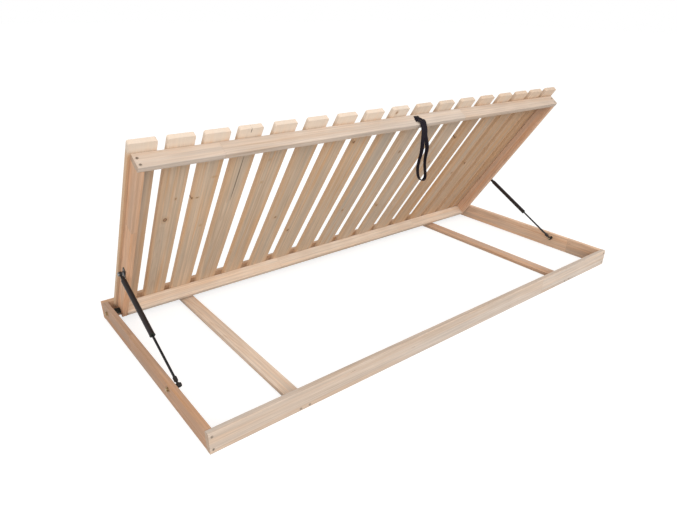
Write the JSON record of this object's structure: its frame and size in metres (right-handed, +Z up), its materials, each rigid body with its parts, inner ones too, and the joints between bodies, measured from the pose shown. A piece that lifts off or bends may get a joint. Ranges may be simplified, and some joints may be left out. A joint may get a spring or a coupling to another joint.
{
  "type": "slatted bed base",
  "caption": "Low pine bed base frame with a slatted panel that lifts sideways on two gas struts, held at its hinge by bolts, with a webbing pull strap.",
  "frame": {"origin": "middle of the base frame's footprint, on the surface that it lies on", "axes": "+X along the length, +Y from the opening front to the hinged back, +Z up. Stored open, as in the picture"},
  "size_m": [2.0144, 0.9, 0.7528],
  "materials": {
    "pine_rail": "planed pine, unfinished, pale",
    "pine_dark_rail": "planed pine, unfinished, warmer",
    "pine_slat": "planed pine slats with knots",
    "zinc_screw": "zinc-plated wood screws",
    "zinc_steel": "zinc-plated studs",
    "yellow_zinc": "yellow zinc-plated bolts",
    "black_plastic": "black moulded plastic",
    "rod_steel": "ground and blackened rod",
    "tube_paint": "black paint, slight sheen",
    "eye_paint": "blackened steel",
    "webbing": "woven dark webbing"
  },
  "bodies": {
    "base": {"base_front_rail": "pine_rail", "base_back_rail": "pine_rail", "base_left_rail": "pine_dark_rail", "base_right_rail": "pine_dark_rail", "left_crossbar": "pine_dark_rail", "right_crossbar": "pine_dark_rail", "base_corner_screws": "zinc_screw", "crossbar_screws": "zinc_screw", "strut_lower_bolts": "yellow_zinc", "strut_lower_spacers": "black_plastic", "strut_lower_nuts": "eye_paint"},
    "panel": {"panel_front_rail": "pine_rail", "panel_back_rail": "pine_dark_rail", "panel_left_rail": "pine_dark_rail", "panel_right_rail": "pine_dark_rail", "slat_01": "pine_slat", "slat_02": "pine_slat", "slat_03": "pine_slat", "slat_04": "pine_slat", "slat_05": "pine_slat", "slat_06": "pine_slat", "slat_07": "pine_slat", "slat_08": "pine_slat", "slat_09": "pine_slat", "slat_10": "pine_slat", "slat_11": "pine_slat", "slat_12": "pine_slat", "slat_13": "pine_slat", "slat_14": "pine_slat", "slat_15": "pine_slat", "slat_16": "pine_slat", "slat_17": "pine_slat", "panel_corner_screws": "zinc_screw", "slat_screws": "zinc_screw", "strut_bracket_screws": "zinc_screw", "strap_tab": "webbing", "strap_screw": "eye_paint", "left_pivot_bolt": "yellow_zinc", "left_pivot_spacer": "black_plastic", "left_strut_bracket": "eye_paint", "right_pivot_bolt": "yellow_zinc", "right_pivot_spacer": "black_plastic", "right_strut_bracket": "eye_paint"},
    "left_rod": {"left_strut_rod": "rod_steel", "left_strut_rod_eye": "eye_paint"},
    "left_tube": {"left_strut_tube": "tube_paint", "left_strut_gland": "black_plastic", "left_strut_tube_eye": "eye_paint", "left_strut_stud": "zinc_steel"},
    "right_rod": {"right_strut_rod": "rod_steel", "right_strut_rod_eye": "eye_paint"},
    "right_tube": {"right_strut_tube": "tube_paint", "right_strut_gland": "black_plastic", "right_strut_tube_eye": "eye_paint", "right_strut_stud": "zinc_steel"},
    "strap": {"strap_loop": "webbing"}
  },
  "joints": [
    {"name": "panel_hinge", "type": "hinge", "parent": "base", "child": "panel", "pos_m": [0, 0.385, 0.045], "axis": [-1, 0, 0], "range_deg": [-55, 0], "stiffness_Nm_per_rad": 30, "springref_deg": 97.4},
    {"name": "left_strut_swing", "type": "hinge", "parent": "base", "child": "left_rod", "pos_m": [-0.967, -0.18, 0.05], "axis": [1, 0, 0], "range_deg": [-29.02, 0]},
    {"name": "left_strut_slide", "type": "slide", "parent": "left_rod", "child": "left_tube", "axis": [0, 0.8902, 0.4555], "range_m": [-0.15917, 0]},
    {"name": "right_strut_swing", "type": "hinge", "parent": "base", "child": "right_rod", "pos_m": [0.967, -0.18, 0.05], "axis": [1, 0, 0], "range_deg": [-29.02, 0]},
    {"name": "right_strut_slide", "type": "slide", "parent": "right_rod", "child": "right_tube", "axis": [0, 0.8902, 0.4555], "range_m": [-0.15917, 0]},
    {"name": "strap_swing", "type": "hinge", "parent": "panel", "child": "strap", "pos_m": [0.085, -0.1029, 0.68121], "axis": [-1, 0, 0], "range_deg": [-35.01, 0]}
  ],
  "couplings": [
    {"joint": "left_strut_swing", "follows": "panel_hinge", "ratio": 0.52736},
    {"joint": "left_strut_slide", "follows": "panel_hinge", "m_per_rad": 0.16579},
    {"joint": "right_strut_swing", "follows": "panel_hinge", "ratio": 0.52736},
    {"joint": "right_strut_slide", "follows": "panel_hinge", "m_per_rad": 0.16579},
    {"joint": "strap_swing", "follows": "panel_hinge", "ratio": 0.63636}
  ]
}
